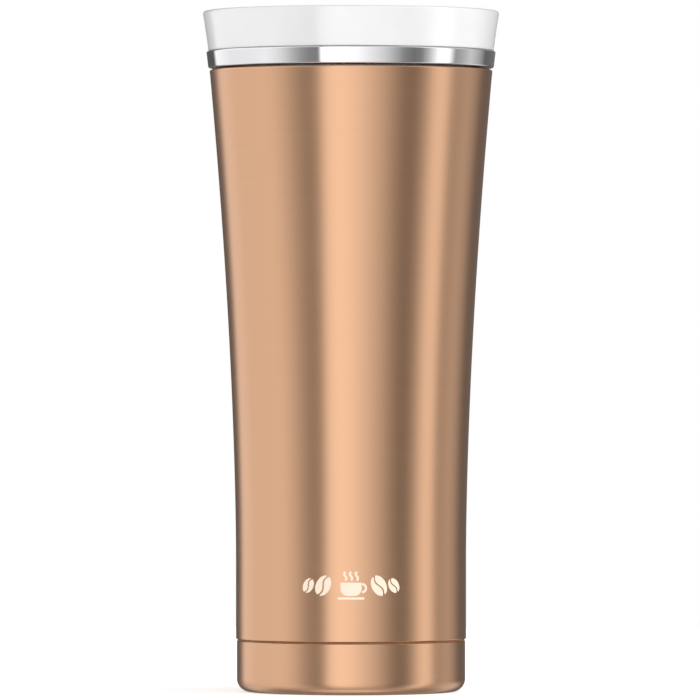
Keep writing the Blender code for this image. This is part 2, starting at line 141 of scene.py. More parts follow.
def inward(points, index):
    """Unit vector to the right of the outline's direction, stretched to keep a wall even."""
    before = Vector(points[max(index - 1, 0)])
    here = Vector(points[index])
    after = Vector(points[min(index + 1, len(points) - 1)])
    sides = [side.normalized() for side in (here - before, after - here) if side.length > 1e-9]
    mean = sum(sides, Vector((0.0, 0.0))).normalized()
    stretch = 1.0 / max(0.4, mean.dot(sides[0]))
    return Vector((mean.y, -mean.x)) * stretch


def sheet(points, thickness, hem_steps=4):
    """Closes an open outline into a sheet of even thickness with rounded cut edges."""
    back = []
    for index, point in enumerate(points):
        moved = Vector(point) + inward(points, index) * thickness
        back.append((max(moved.x, 0.0) if point[0] > 1e-9 else 0.0, moved.y))
    far_hem, near_hem = hem(points[-1], back[-1], hem_steps), hem(back[0], points[0], hem_steps)
    return [*points, *far_hem, *back[::-1], *near_hem]


def hem(start, end, steps):
    """Shallow rounding across a cut edge, from one side of the sheet to the other."""
    a, b = Vector(start), Vector(end)
    if a.x < 1e-9 or b.x < 1e-9:
        return []
    middle, half = (a + b) / 2, (b - a) / 2
    out = Vector((half.y, -half.x)) * 0.5
    angles = [math.pi * step / steps for step in range(1, steps)]
    return [tuple(middle - half * math.cos(t) - out * math.sin(t)) for t in angles]


print("a quarter arc has", len(arc((0, 0), 1, 90, 0)), "points")

# %% [markdown]
# ## The lathe
#
# `bmesh.ops.spin` turns an outline about the axis, as a potter or a spinning lathe does. Long flat
# runs get an extra point just before each corner, so that smooth shading bends only at the corner
# and the flats stay flat.

# %% Spin an outline
TURN_STEPS = 192
BRACE = 0.12 * MM
SHARPEST = math.radians(35.0)  # the sharpest edge that is still shaded smooth
UPRIGHT = {"cent": (0.0, 0.0, 0.0), "axis": (0.0, 0.0, 1.0)}


def neighbours(items, closed=True):
    """Each item with the next one; a closed row also joins its last to its first."""
    pairs = list(zip(items, items[1:] + items[:1]))
    return pairs if closed else pairs[:-1]


def braced(outline, closed):
    """Adds a point near both ends of every long straight run."""
    points = []
    for start, end in neighbours(outline, closed):
        a, b = Vector(start), Vector(end)
        run = (b - a).length
        points.append(tuple(a))
        if run > 8 * BRACE:
            points += [tuple(a.lerp(b, BRACE / run)), tuple(b.lerp(a, BRACE / run))]
    if not closed:
        points.append(tuple(outline[-1]))
    return points


def shaded(mesh):
    mesh.shade_smooth()
    mesh.set_sharp_from_angle(angle=SHARPEST)


def placed(name, data):
    """Puts a mesh, a lamp or a camera into the scene."""
    made = bpy.data.objects.new(name, data)
    bpy.context.scene.collection.objects.link(made)
    return made


def as_piece(name, shape):
    """Turns a bmesh into an object."""
    mesh = bpy.data.meshes.new(name)
    shape.to_mesh(mesh)
    shape.free()
    shaded(mesh)
    return placed(name, mesh)


def lathe(name, outline, steps=TURN_STEPS, centre=(0.0, 0.0)):
    """Turns a closed outline, or one that starts and ends on the axis, into a solid."""
    closed = outline[0][0] > 1e-9 or outline[-1][0] > 1e-9
    shape = bmesh.new()
    ring = [shape.verts.new((r, 0.0, z)) for r, z in braced(outline, closed)]
    edges = [shape.edges.new(pair) for pair in neighbours(ring, closed)]
    bmesh.ops.spin(shape, geom=ring + edges, angle=2 * math.pi, steps=steps, use_merge=True, **UPRIGHT)
    bmesh.ops.remove_doubles(shape, verts=shape.verts, dist=0.001 * MM)
    bmesh.ops.recalc_face_normals(shape, faces=shape.faces)
    bmesh.ops.translate(shape, vec=(*centre, 0.0), verts=shape.verts)
    return as_piece(name, shape)


def side_radius(z):
    """Outside of the body: straight at the waist, then widening along a power curve."""
    share = max(0.0, (z - FLARE_START) / (BODY_TOP - FLARE_START))
    return WAIST_RADIUS + (MOUTH_RADIUS - WAIST_RADIUS) * share**FLARE_POWER


def side_rows(top, bottom, inset, rows):
    """Points down the body's side, that far inside its outer face."""
    heights = [top + (bottom - top) * row / rows for row in range(rows + 1)]
    return [(side_radius(z) - inset, z) for z in heights]


print("the waist is", round(2 * WAIST_RADIUS / MM, 1), "mm across")

# %% [markdown]
# ## Materials: a small kit
#
# Real finishes are never one number. Each material below starts from the Principled shader and adds
# a pattern measured in millimetres on Object coordinates. `stretched` squeezes the coordinates, so
# that one noise gives round grains, long scratches or lathe lines. Values that are the same all
# over are set straight on the shader's sockets.

# %% Helpers for materials
class Tree:
    """The nodes of a material or a world."""

    def __init__(self, owner):
        owner.use_nodes = True
        self.nodes, self.links = owner.node_tree.nodes, owner.node_tree.links

    def add(self, kind, **values):
        """A new node with some of its sockets set."""
        made = self.nodes.new("ShaderNode" + kind)
        for socket, value in values.items():
            made.inputs[socket.replace("_", " ")].default_value = value
        return made


class Finish(Tree):
    """A Principled material, with short calls for patterns on Object coordinates."""

    def __init__(self, name, colour, **values):
        self.material = bpy.data.materials.new(name)
        super().__init__(self.material)
        self.shader = self.nodes["Principled BSDF"]
        self.set("Base Color", (*colour, 1.0))
        self.material.diffuse_color = (*colour, 1.0)
        for socket, value in values.items():
            self.set(socket.replace("_", " "), value)

    def set(self, socket, value):
        self.shader.inputs[socket].default_value = value

    def stretched(self, scale):
        """Object coordinates multiplied by a scale for each axis, in cycles a metre."""
        place, mapping = self.add("TexCoord"), self.add("Mapping", Scale=scale)
        self.links.new(place.outputs["Object"], mapping.inputs["Vector"])
        return mapping.outputs["Vector"]

    def noise(self, scale, detail=2.0):
        made = self.add("TexNoise", Scale=1.0, Detail=detail, Roughness=0.5)
        self.links.new(self.stretched(scale), made.inputs["Vector"])
        return made.outputs["Fac"]

    def cells(self, scale):
        made = self.add("TexVoronoi", Scale=1.0)
        self.links.new(self.stretched(scale), made.inputs["Vector"])
        return made.outputs["Distance"]

    def between(self, pattern, lowest=0.0, highest=1.0, start=0.3, end=0.7):
        """Maps a pattern to a range of values."""
        made = self.add("MapRange", From_Min=start, From_Max=end, To_Min=lowest, To_Max=highest)
        self.links.new(pattern, made.inputs["Value"])
        return made.outputs["Result"]

    def tinted(self, pattern, first, second):
        """Colours the base from one tint to another along a pattern."""
        made = self.add("Mix")
        made.data_type = "RGBA"
        made.inputs["A"].default_value = (*first, 1.0)
        made.inputs["B"].default_value = (*second, 1.0)
        self.links.new(pattern, made.inputs["Factor"])
        self.links.new(made.outputs["Result"], self.shader.inputs["Base Color"])

    def bumped(self, pattern, depth, strength=1.0):
        """Raises the surface by up to depth, in millimetres, where the pattern is bright."""
        made = self.add("Bump", Strength=strength, Distance=depth * MM)
        self.links.new(pattern, made.inputs["Height"])
        earlier = self.shader.inputs["Normal"].links
        if earlier:
            self.links.new(earlier[0].from_socket, made.inputs["Normal"])
        self.links.new(made.outputs["Normal"], self.shader.inputs["Normal"])

    def rough_by(self, value):
        self.links.new(value, self.shader.inputs["Roughness"])

    def varied(self, pattern, tints, roughness, depth=0.0, **span):
        """Lets one pattern vary the colour, the roughness and, with a depth, the height."""
        self.tinted(self.between(pattern, **span), *tints)
        self.rough_by(self.between(pattern, *roughness, **span))
        if depth:
            self.bumped(pattern, depth)
        return self.material


print("finish kit ready")

# %% [markdown]
# ## Copper lacquer on brushed steel
#
# The shell is steel spun and brushed on a lathe, under a clear copper-tinted lacquer. Brushing
# leaves very fine rings, so a highlight is drawn out up and down the wall and stays narrower round
# it: that is what the Anisotropic value does. The rings themselves are noise squeezed in Z.

# %% Copper lacquer
QUARTER_TURN = 0.25


def copper_lacquer():
    drawn_out = {"Anisotropic": 0.33, "Anisotropic_Rotation": QUARTER_TURN}
    finish = Finish("copper_lacquer", (0.75, 0.44, 0.27), Metallic=1.0, **drawn_out)
    rings = finish.noise((5.0, 5.0, 1700.0), detail=3.0)
    tints = (0.74, 0.434, 0.266), (0.76, 0.446, 0.274)
    return finish.varied(rings, tints, (0.275, 0.305), 0.0012)


COPPER = copper_lacquer()
print("made", COPPER.name)

# %% [markdown]
# ## Bare steels
#
# The trim band is polished until it mirrors the studio, with only a breath of wear in its
# roughness. The drink vessel is satin: spun lines run round it and its highlights are soft.

# %% Polished and satin steel
def polished_steel():
    finish = Finish("polished_steel", (0.86, 0.86, 0.875), Metallic=1.0)
    wear = finish.noise((90.0, 90.0, 500.0), detail=4.0)
    finish.rough_by(finish.between(wear, 0.035, 0.085))
    finish.tinted(wear, (0.85, 0.85, 0.868), (0.875, 0.875, 0.885))
    return finish.material


def satin_steel():
    drawn_out = {"Anisotropic": 0.5, "Anisotropic_Rotation": QUARTER_TURN}
    finish = Finish("satin_steel", (0.66, 0.65, 0.64), Metallic=1.0, **drawn_out)
    rings = finish.noise((8.0, 8.0, 1900.0), detail=3.0)
    stains = finish.noise((60.0, 60.0, 45.0), detail=4.0)
    finish.tinted(finish.between(stains), (0.64, 0.63, 0.62), (0.69, 0.685, 0.68))
    finish.rough_by(finish.between(rings, 0.24, 0.36))
    finish.bumped(rings, 0.006)
    return finish.material


POLISHED = polished_steel()
SATIN = satin_steel()
print("made", POLISHED.name, "and", SATIN.name)

# %% [markdown]
# ## White lid plastic
#
# The lid is moulded in glossy white plastic. Light goes a little way in, which softens its shading,
# and the mould leaves a faint waviness that only shows in reflections. A touch of Metallic is a
# shortcut, because plastic holds no metal: it lets the glossy face mirror the studio faintly at every
# angle, and not only at the rim.

# %% White plastic
def white_plastic():
    finish = Finish("white_plastic", (0.835, 0.83, 0.84), Metallic=0.1, IOR=1.5, Specular_IOR_Level=0.6)
    finish.set("Subsurface Weight", 0.12)
    finish.set("Subsurface Scale", 0.6 * MM)
    finish.set("Subsurface Radius", (1.0, 0.9, 0.85))
    flow = finish.noise((140.0, 140.0, 140.0), detail=2.0)
    grain = finish.noise((1600.0, 1600.0, 1600.0), detail=2.0)
    finish.tinted(finish.between(flow), (0.825, 0.82, 0.83), (0.845, 0.84, 0.85))
    finish.rough_by(finish.between(grain, 0.16, 0.24))
    finish.bumped(flow, 0.006)
    finish.bumped(grain, 0.0012)
    return finish.material


WHITE = white_plastic()
print("made", WHITE.name)

# %% [markdown]
# ## Rubbers, foil, glass, getter and ink
#
# Silicone is milky and slightly dusty. The thumb grip is a stippled elastomer. The foil in the
# vacuum is crinkled, the getter is pressed powder, and the bead is dark solder glass. The print is
# a thin cream ink, dotted with tiny pinholes.

# %% Small finishes
CELL_SPAN = {"start": 0.1, "end": 0.6}


def clear_silicone():
    milky = {"Subsurface_Weight": 0.5, "Subsurface_Scale": 1.2 * MM}
    finish = Finish("clear_silicone", (0.72, 0.74, 0.75), IOR=1.41, **milky)
    dust = finish.noise((700.0, 700.0, 700.0), detail=4.0)
    tints = (0.68, 0.7, 0.715), (0.77, 0.785, 0.79)
    return finish.varied(dust, tints, (0.38, 0.55), 0.004)


def grip_elastomer():
    finish = Finish("grip_elastomer", (0.2, 0.2, 0.205), IOR=1.45)
    stipple = finish.cells((2600.0, 2600.0, 2600.0))
    tints = (0.17, 0.17, 0.175), (0.23, 0.23, 0.235)
    return finish.varied(stipple, tints, (0.5, 0.68), 0.03, **CELL_SPAN)


def crinkled_foil():
    finish = Finish("crinkled_foil", (0.86, 0.86, 0.87), Metallic=1.0)
    creases = finish.cells((330.0, 330.0, 210.0))
    fine = finish.noise((1100.0, 1100.0, 1100.0), detail=3.0)
    finish.bumped(creases, 0.25, 0.7)
    return finish.varied(fine, ((0.84, 0.84, 0.85), (0.89, 0.89, 0.9)), (0.16, 0.28))


def getter_alloy():
    finish = Finish("getter_alloy", (0.12, 0.12, 0.13), Metallic=0.4)
    grains = finish.cells((4200.0, 4200.0, 4200.0))
    tints = (0.07, 0.07, 0.08), (0.2, 0.2, 0.21)
    return finish.varied(grains, tints, (0.6, 0.85), 0.06, **CELL_SPAN)


def solder_glass():
    finish = Finish("solder_glass", (0.09, 0.055, 0.03), IOR=1.62, Coat_Weight=0.5)
    swirl = finish.noise((500.0, 500.0, 900.0), detail=3.0)
    return finish.varied(swirl, ((0.05, 0.03, 0.018), (0.15, 0.09, 0.045)), (0.08, 0.2))


def cream_ink():
    finish = Finish("cream_ink", (0.91, 0.75, 0.6), IOR=1.5, Coat_Weight=0.3)
    pinholes = finish.noise((5200.0, 5200.0, 5200.0), detail=2.0)
    tints = (0.89, 0.73, 0.57), (0.93, 0.77, 0.62)
    return finish.varied(pinholes, tints, (0.38, 0.52), 0.002)


SILICONE = clear_silicone()
GRIP = grip_elastomer()
FOIL = crinkled_foil()
GETTER = getter_alloy()
GLASS = solder_glass()
INK = cream_ink()
print("made six small finishes")

# %% [markdown]
# ## The outer shell
#
# The shell is one pressed tube. Its lip curls in over the neck, its side follows the flare, and
# below the waist it steps in, so that the base cup can slide over it and leave a thin groove.

# %% Outer shell
JOGGLE_TOP = 15.7 * MM
JOGGLE_RADIUS = 33.1 * MM
CURL = 0.65 * MM
NECK_OUTER = MOUTH_RADIUS - 3.35 * MM
NECK_INNER = NECK_OUTER - SHEET


def shell_outline():
    shoulder = 0.32 * MM
    fillet = 0.3 * MM
    points = [(NECK_OUTER + 0.4 * MM, BODY_TOP)]
    points += arc((MOUTH_RADIUS - CURL, BODY_TOP - CURL), CURL, 90, 4, 12)
    points += side_rows(BODY_TOP - 1.4 * CURL, JOGGLE_TOP + shoulder, 0.0, 64)[:-1]
    points += arc((WAIST_RADIUS - shoulder, JOGGLE_TOP + shoulder), shoulder, 0, -90)
    points += arc((JOGGLE_RADIUS + fillet, JOGGLE_TOP - fillet), fillet, 90, 180, 5)
    points.append((JOGGLE_RADIUS, low("outer_shell")))
    return points


stand_for(lathe("brushed_shell", sheet(shell_outline(), SHEET)), "outer_shell", COPPER)

# %% [markdown]
# ## The base cup
#
# A shallow cup closes the bottom and carries the same lacquer. Its corner is rounded, it stands on
# a flat ring, and the middle is pressed up with one shallow step, which keeps it from drumming.

# %% Base cup
BASE_SHEET = 0.6 * MM
BASE_RADIUS = radius_of("base_cup")


def base_outline():
    corner, rim, fillet = 3.8 * MM, 0.2 * MM, 0.5 * MM
    foot, recess, step = 25.0 * MM, 1.8 * MM, 0.3 * MM
    points = arc((BASE_RADIUS - rim, high("base_cup") - rim), rim, 75, 0, 5)
    points += arc((BASE_RADIUS - corner, corner), corner, 0, -90, 16)
    points += arc((foot + fillet, fillet), fillet, -90, -150, 5)
    points += arc((foot - 1.9 * fillet, recess - fillet), fillet, 30, 90, 5)
    points += [(15.2 * MM, recess), (14.6 * MM, recess - step), (0.0, recess - step)]
    return points


stand_for(lathe("lacquered_base", sheet(base_outline(), BASE_SHEET)), "base_cup", COPPER)

# %% [markdown]
# ## The seam above the base
#
# The cup is glued on. A thin bead of adhesive fills the back of the groove. Its dark brown is painted
# shade, the tone of the shaded groove, and it is what makes the seam read as a dark line all the way
# round.

# %% Adhesive bead in painted groove shade
def seam_shade_bead():
    # The bead's browns are painted shade: they give the groove the dark tone of its shadow.
    finish = Finish("seam_shade_bead", (0.26, 0.115, 0.045), IOR=1.5, Specular_IOR_Level=0.25)
    lumps = finish.noise((400.0, 400.0, 900.0), detail=3.0)
    tints = (0.23, 0.1, 0.039), (0.29, 0.13, 0.051)
    return finish.varied(lumps, tints, (0.3, 0.5), 0.02)


seam_low, seam_high = high("base_cup") + 0.04 * MM, JOGGLE_TOP - 0.06 * MM
seam_back, seam_edge = JOGGLE_RADIUS + 0.05 * MM, 0.1 * MM
edge_radius = BASE_RADIUS - 0.2 * MM - seam_edge
seam_outline = [(seam_back, seam_low)]
seam_outline += arc((edge_radius, seam_low + seam_edge), seam_edge, -90, 0, 4)
seam_outline += arc((edge_radius, seam_high - seam_edge), seam_edge, 0, 90, 4)
seam_outline.append((seam_back, seam_high))
add_detail(lathe("seam_bead", seam_outline), "tumbler", seam_shade_bead())

# %% [markdown]
# ## Threads
#
# The neck's thread is rolled into the liner, and the plug's is moulded on it. Both are one small
# section spun round the axis while it climbs 6 mm a turn. The height of the ridge eases to nothing
# at both ends, as a tool that runs out leaves it, so the first and last sections are flat.

# %% Spin a thread
RUN_OUT = 0.07  # share of a turn over which a thread grows to its full height


def smoothed(share):
    """Leaves 0 and reaches 1 gently."""
    return share * share * (3 - 2 * share)


def thread(name, root, tip, start, steps=TURN_STEPS):
    """A helical ridge from radius root to radius tip, with a rounded crown and tapered ends."""
    half, depth = 1.1 * MM, tip - root
    crown = [(root, start - half)]
    for share in (0.2, 0.45, 0.7, 0.88, 0.97, 1.0):
        crown.append((root + depth * share, start - half + 0.75 * half * share**2.2))
    section = crown + [(r, 2 * start - z) for r, z in reversed(crown)]
    ridge = bmesh.new()
    face = ridge.faces.new([ridge.verts.new((r, 0.0, z)) for r, z in section])
    half_step = Matrix.Rotation(math.pi / steps, 3, "Z")
    bmesh.ops.rotate(ridge, cent=(0, 0, 0), matrix=half_step, verts=ridge.verts)
    bmesh.ops.spin(
        ridge,
        geom=[face, *face.edges, *face.verts],
        dvec=(0.0, 0.0, LEAD / steps),
        angle=2 * math.pi * THREAD_TURNS,
        steps=round(steps * THREAD_TURNS),
        use_merge=False,
        **UPRIGHT,
    )
    for vert in ridge.verts:
        angle = math.atan2(vert.co.y, vert.co.x) / (2 * math.pi)
        turns = angle + round((vert.co.z - start) / LEAD - angle)
        left = min(turns, THREAD_TURNS - turns) / RUN_OUT
        ease = smoothed(min(1.0, max(0.02, left)))
        radius = math.hypot(vert.co.x, vert.co.y)
        wanted = root + (radius - root) * ease
        vert.co.x *= wanted / radius
        vert.co.y *= wanted / radius
    bmesh.ops.recalc_face_normals(ridge, faces=ridge.faces)
    return as_piece(name, ridge)


def joined(target, operation, *others):
    """Applies a Boolean of target with each other solid, and removes the others."""
    for other in others:
        step = target.modifiers.new(other.name, "BOOLEAN")
        step.operation = operation
        step.object = other
        step.solver = "EXACT"
    bpy.context.view_layer.update()
    graph = bpy.context.evaluated_depsgraph_get()
    mesh = bpy.data.meshes.new_from_object(target.evaluated_get(graph))
    target.modifiers.clear()
    target.data = mesh
    for other in others:
        bpy.data.objects.remove(other, do_unlink=True)
    shaded(mesh)
    return target


print("thread ready:", THREAD_TURNS, "turns at", LEAD / MM, "mm a turn")

# %% [markdown]
# ## The drink vessel
#
# The liner is a second tube inside the shell. From the top it has a straight threaded neck, a seat
# that the lid's gasket wipes, a ledge that stops it, and then a taper that follows the shell. A
# dished bottom is welded on, and thin welds close the seams at the mouth and at the bottom.

# %% Liner, its bottom and its welds
SEAT_OUTER = NECK_OUTER - 1.5 * MM
SEAT_TOP = BODY_TOP - 14.6 * MM
LEDGE_TOP = SEAT_TOP - 2.1 * MM
LEDGE_BOTTOM = LEDGE_TOP - 1.1 * MM
THREAD_LOW = BODY_TOP - 10.5 * MM
LINER_SEAM = low("inner_liner")


def liner_outline():
    inset = WALL_DEPTH - SHEET
    points = [(NECK_OUTER, high("inner_liner"))]
    points += softened((NECK_OUTER, SEAT_TOP + 1.0 * MM), (SEAT_OUTER, SEAT_TOP), 0.6 * MM)
    points += softened((SEAT_OUTER, LEDGE_TOP), side_rows(LEDGE_BOTTOM, 0, inset, 1)[0], 0.4 * MM)
    points += side_rows(LEDGE_BOTTOM - 0.6 * MM, LINER_SEAM, inset, 48)
    return points


def softened(top, bottom, ease):
    """An S-shaped step from one straight wall to the next."""
    rise = top[1] - bottom[1]
    points = []
    for share in (0.0, 0.12, 0.26, 0.42, 0.58, 0.74, 0.88, 1.0):
        z = top[1] + ease / 2 - (rise + ease) * share
        points.append((top[0] + (bottom[0] - top[0]) * smoothed(share), z))
    return points


inner_liner = lathe("vessel_wall", sheet(liner_outline(), SHEET))
neck_thread = thread("neck_thread", NECK_INNER + 0.3 * MM, NECK_INNER - 1.4 * MM, THREAD_LOW)
joined(inner_liner, "UNION", neck_thread)
stand_for(inner_liner, "inner_liner", SATIN)


def liner_bottom_outline():
    radius, corner, floor = radius_of("liner_bottom"), 6.0 * MM, low("liner_bottom")
    points = [(radius, high("liner_bottom"))]
    points += arc((radius - corner, floor + corner), corner, 0, -90, 18)
    points += [(12.0 * MM, floor), (6.0 * MM, floor + 0.3 * MM), (0.0, floor + 0.5 * MM)]
    return points


stand_for(lathe("vessel_bottom", sheet(liner_bottom_outline(), SHEET)), "liner_bottom", SATIN)


def weld(name, radius, z, size):
    """A thin fused bead that covers a welded seam."""
    bead = lathe(name, arc((radius, z), size, 90, -252, 19))
    add_detail(bead, "tumbler", SATIN)


weld("mouth_weld", NECK_OUTER + 0.17 * MM, high("inner_liner") - 0.1 * MM, 0.3 * MM)
weld("bottom_weld", radius_of("liner_bottom") - SHEET / 2, LINER_SEAM - 0.15 * MM, 0.33 * MM)

# %% [markdown]
# ## Inside the vacuum
#
# These pieces are sealed in, and only a cut-open tumbler shows them. They are still made, because
# the finished model is used piece by piece: a foil shield, the plate that closes the vacuum, the
# glass bead that seals its evacuation hole, and the getter in its cup.

# %% Foil, vacuum plate, bead and getter
foil_inset = WALL_DEPTH - SHEET - 0.7 * MM
sleeve_rows = side_rows(high("foil_sleeve") - 0.1 * MM, low("foil_sleeve") + 0.1 * MM, foil_inset, 40)
stand_for(lathe("foil_sleeve_leaf", sheet(sleeve_rows, 0.2 * MM)), "foil_sleeve", FOIL)

disc_top, disc_low, disc_radius = high("foil_disc"), low("foil_disc"), radius_of("foil_disc")
disc = [(0.0, disc_top), (disc_radius, disc_top), (disc_radius, disc_low), (0.0, disc_low)]
stand_for(lathe("foil_disc_leaf", disc), "foil_disc", FOIL)


def vacuum_plate_outline():
    rim, plate_top, dimple = radius_of("vacuum_bottom"), 8.8 * MM, high("vacuum_bottom")
    points = [(1.0 * MM, dimple), (4.2 * MM, dimple)]
    points += softened((4.5 * MM, dimple), (5.8 * MM, plate_top), 0.0)[1:]
    points += arc((rim - 1.4 * MM, plate_top - 1.4 * MM), 1.4 * MM, 90, 0)
    points.append((rim, low("vacuum_bottom")))
    return points


stand_for(lathe("vacuum_plate", sheet(vacuum_plate_outline(), SHEET)), "vacuum_bottom", SATIN)

bead_low, bead_radius = low("seal_bead"), radius_of("seal_bead")
bead_outline = [(0.0, high("seal_bead")), (0.5 * MM, 10.5 * MM), (0.7 * MM, 10.2 * MM)]
bead_outline += [(0.7 * MM, 9.3 * MM), (3.8 * MM, 9.2 * MM)]
bead_outline += arc((bead_radius - 0.6 * MM, 8.65 * MM), 0.55 * MM, 60, -75, 7)
bead_outline += [(2.0 * MM, bead_low + 0.05 * MM), (0.0, bead_low)]
stand_for(lathe("fused_bead", bead_outline, 64), "seal_bead", GLASS)

(getter_x, _), (cup_radius, _) = footprint("getter_cup")
getter_centre, cup_floor, cup_corner = (getter_x, 0.0), low("getter_cup"), 0.6 * MM
cup = [(cup_radius, high("getter_cup"))]
cup += arc((cup_radius - cup_corner, cup_floor + cup_corner), cup_corner, 0, -90)
cup.append((0.0, cup_floor))
stand_for(lathe("pressed_getter_cup", sheet(cup, 0.4 * MM), 96, getter_centre), "getter_cup", SATIN)

pellet_low, pellet_high, edge = low("getter_pellet"), high("getter_pellet"), 0.25 * MM
edge_radius = footprint("getter_pellet")[1][0] - edge
pellet = [(0.0, pellet_high)]
pellet += arc((edge_radius, pellet_high - edge), edge, 90, 0, 5)
pellet += arc((edge_radius, pellet_low + edge), edge, 0, -90, 5)
pellet.append((0.0, pellet_low))
stand_for(lathe("powder_pellet", pellet, 96, getter_centre), "getter_pellet", GETTER)

# %% [markdown]
# ## Rounded outlines and holes
#
# The slider and its seals are flat pieces. `plate` raises an outline and bevels both rims, and
# `flared_hole` makes a cutter that opens out at both faces, so that a hole comes out with rounded
# edges and needs no bevel afterwards, which would be hard on a deck made of thin wedges.

# %% Plates, blocks and hole cutters
def rounded(centre, half, corner, steps=8):
    """Outline of a rectangle with round corners."""
    points = []
    for turn, (sx, sy) in enumerate(((1, 1), (-1, 1), (-1, -1), (1, -1))):
        middle = (centre[0] + sx * (half[0] - corner), centre[1] + sy * (half[1] - corner))
        points += arc(middle, corner, 90 * turn, 90 * turn + 90, steps)
    return points


def pulled_out(shape, faces):
    """Extrudes faces, and returns the new points."""
    made = bmesh.ops.extrude_face_region(shape, geom=faces)["geom"]
    return [item for item in made if isinstance(item, bmesh.types.BMVert)]


def bevelled(shape, edges, width):
    finish = {"segments": 4, "profile": 0.5, "affect": "EDGES", "material": -1, "clamp_overlap": True}
    bmesh.ops.bevel(shape, geom=edges, offset=width, offset_type="OFFSET", **finish)


def plate(name, outline, bottom, top, edge):
    """A flat piece with both rims rounded. A hair-thin inset keeps its flats flat in the light."""
    shape = bmesh.new()
    floor = shape.faces.new([shape.verts.new((x, y, bottom)) for x, y in outline])
    bmesh.ops.translate(shape, vec=(0.0, 0.0, top - bottom), verts=pulled_out(shape, [floor]))
    bmesh.ops.recalc_face_normals(shape, faces=shape.faces)
    rims = [e for e in shape.edges if abs(e.verts[0].co.z - e.verts[1].co.z) < 1e-7]
    bevelled(shape, rims, edge)
    flats = [face for face in shape.faces if abs(face.normal.z) > 0.999]
    bmesh.ops.inset_individual(shape, faces=flats, thickness=0.06 * MM)
    return as_piece(name, shape)


def block(corner_low, corner_high, edge):
    """A block between two corners, with all its edges rounded."""
    shape = bmesh.new()
    bmesh.ops.create_cube(shape, size=1.0)
    size = Vector(corner_high) - Vector(corner_low)
    middle = (Vector(corner_high) + Vector(corner_low)) / 2
    place = Matrix.Translation(middle) @ Matrix.Diagonal((*size, 1.0))
    bmesh.ops.transform(shape, matrix=place, verts=shape.verts)
    bevelled(shape, shape.edges[:], edge)
    return as_piece("block", shape)


def flared_hole(outline_at, bottom, top, flare):
    """A cutter for a hole whose rims are rounded; outline_at(grow) is the hole grown by grow."""
    shape = bmesh.new()
    steps, over = 6, 0.2 * MM
    levels = [(flare, top + over)]
    for step in range(steps + 1):
        angle = math.pi / 2 * step / steps
        levels.append((flare * (1 - math.sin(angle)), top - flare * (1 - math.cos(angle))))
    levels += [(grow, bottom + top - z) for grow, z in reversed(levels)]
    loops = []
    for grow, z in levels:
        verts = [shape.verts.new((x, y, z)) for x, y in outline_at(grow)]
        loops.append([shape.edges.new(pair) for pair in neighbours(verts)])
    for first, second in zip(loops, loops[1:]):
        bmesh.ops.bridge_loops(shape, edges=first + second)
    bmesh.ops.edgeloop_fill(shape, edges=loops[0] + loops[-1])
    bmesh.ops.recalc_face_normals(shape, faces=shape.faces)
    return as_piece("cutter", shape)


print("a rounded rectangle has", len(rounded((0, 0), (1, 1), 0.2)), "points")

# %% [markdown]
# ## The lid's upper moulding
#
# One white moulding makes the drinking lip, the dish, the deck and the skirt that the trim band
# grips. It is turned first. Then two rails for the slider are added, and the sip hole, the vent and
# the slot for the slider's leg are cut through the deck.

# %% Lid cover
RING_LOW = low("trim_ring")
RING_TOP = high("trim_ring")
DECK_TOP = RING_TOP + 0.6 * MM
DECK_LOW = DECK_TOP - 1.6 * MM
PLUG_OUTER = NECK_INNER - 1.8 * MM
FLANGE_TOP = RING_LOW + 1.2 * MM
BUTTON_LOW = DECK_TOP + 0.3 * MM
SLIDE = RECORD["behaviour"]["joints"][-1]["range_m"][1]


def flared_wall(foot, head, power, steps):
    """Points from foot up to head whose slope grows, as a lip that turns out."""
    rise, reach = head[1] - foot[1], head[0] - foot[0]
    shares = [step / steps for step in range(steps + 1)]
    return [(foot[0] + reach * share**power, foot[1] + rise * share) for share in shares]


def cover_outline():
    lip, well, foot = 0.8 * MM, 38.6 * MM, 0.45 * MM
    skirt_outer, skirt_inner = MOUTH_RADIUS - 0.85 * MM, MOUTH_RADIUS - 2.35 * MM
    boss_outer, boss_inner = PLUG_OUTER + 1.9 * MM, PLUG_OUTER + 0.5 * MM
    skirt_low, boss_low = FLANGE_TOP + 0.3 * MM, FLANGE_TOP + 1.7 * MM
    lip_centre = (LIP_RADIUS - lip, HEIGHT - lip)
    wall_foot = (42.68 * MM, RING_TOP + 0.1 * MM + foot)
    points = [(0.0, DECK_TOP)]
    points += arc((well, DECK_TOP + 2.0 * MM), 2.0 * MM, -90, -12, 12)
    inner_foot = (40.75 * MM, DECK_TOP + 2.3 * MM)
    points += flared_wall(inner_foot, (LIP_RADIUS - 1.54 * MM, HEIGHT - 1.2 * MM), 1.12, 14)
    points += arc(lip_centre, lip, 150, 0, 14)
    points += flared_wall(wall_foot, (LIP_RADIUS, HEIGHT - lip), 1.15, 18)[-2::-1]
    points += arc((wall_foot[0] - foot, wall_foot[1]), foot, -8, -90, 6)
    fillet = 0.25 * MM
    points += arc((skirt_outer + fillet, wall_foot[1] - foot - fillet), fillet, 90, 180, 4)
    points += [(skirt_outer, skirt_low), (skirt_inner, skirt_low)]
    points += arc((skirt_inner - 0.3 * MM, DECK_LOW - 0.3 * MM), 0.3 * MM, 0, 90, 4)
    points += [(boss_outer, DECK_LOW), (boss_outer, boss_low), (boss_inner, boss_low)]
    points += [(boss_inner, DECK_LOW), (0.0, DECK_LOW)]
    return points


RAIL_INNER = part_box("slide_button")[1].x + 0.3 * MM
RAIL_TOP = BUTTON_LOW + 1.7 * MM


def rail(side):
    ends = sorted((side * RAIL_INNER, side * (RAIL_INNER + 1.6 * MM)))
    corners = (ends[0], -12.0 * MM, DECK_TOP - 0.6 * MM), (ends[1], 28.0 * MM, RAIL_TOP)
    return block(*corners, 0.45 * MM)


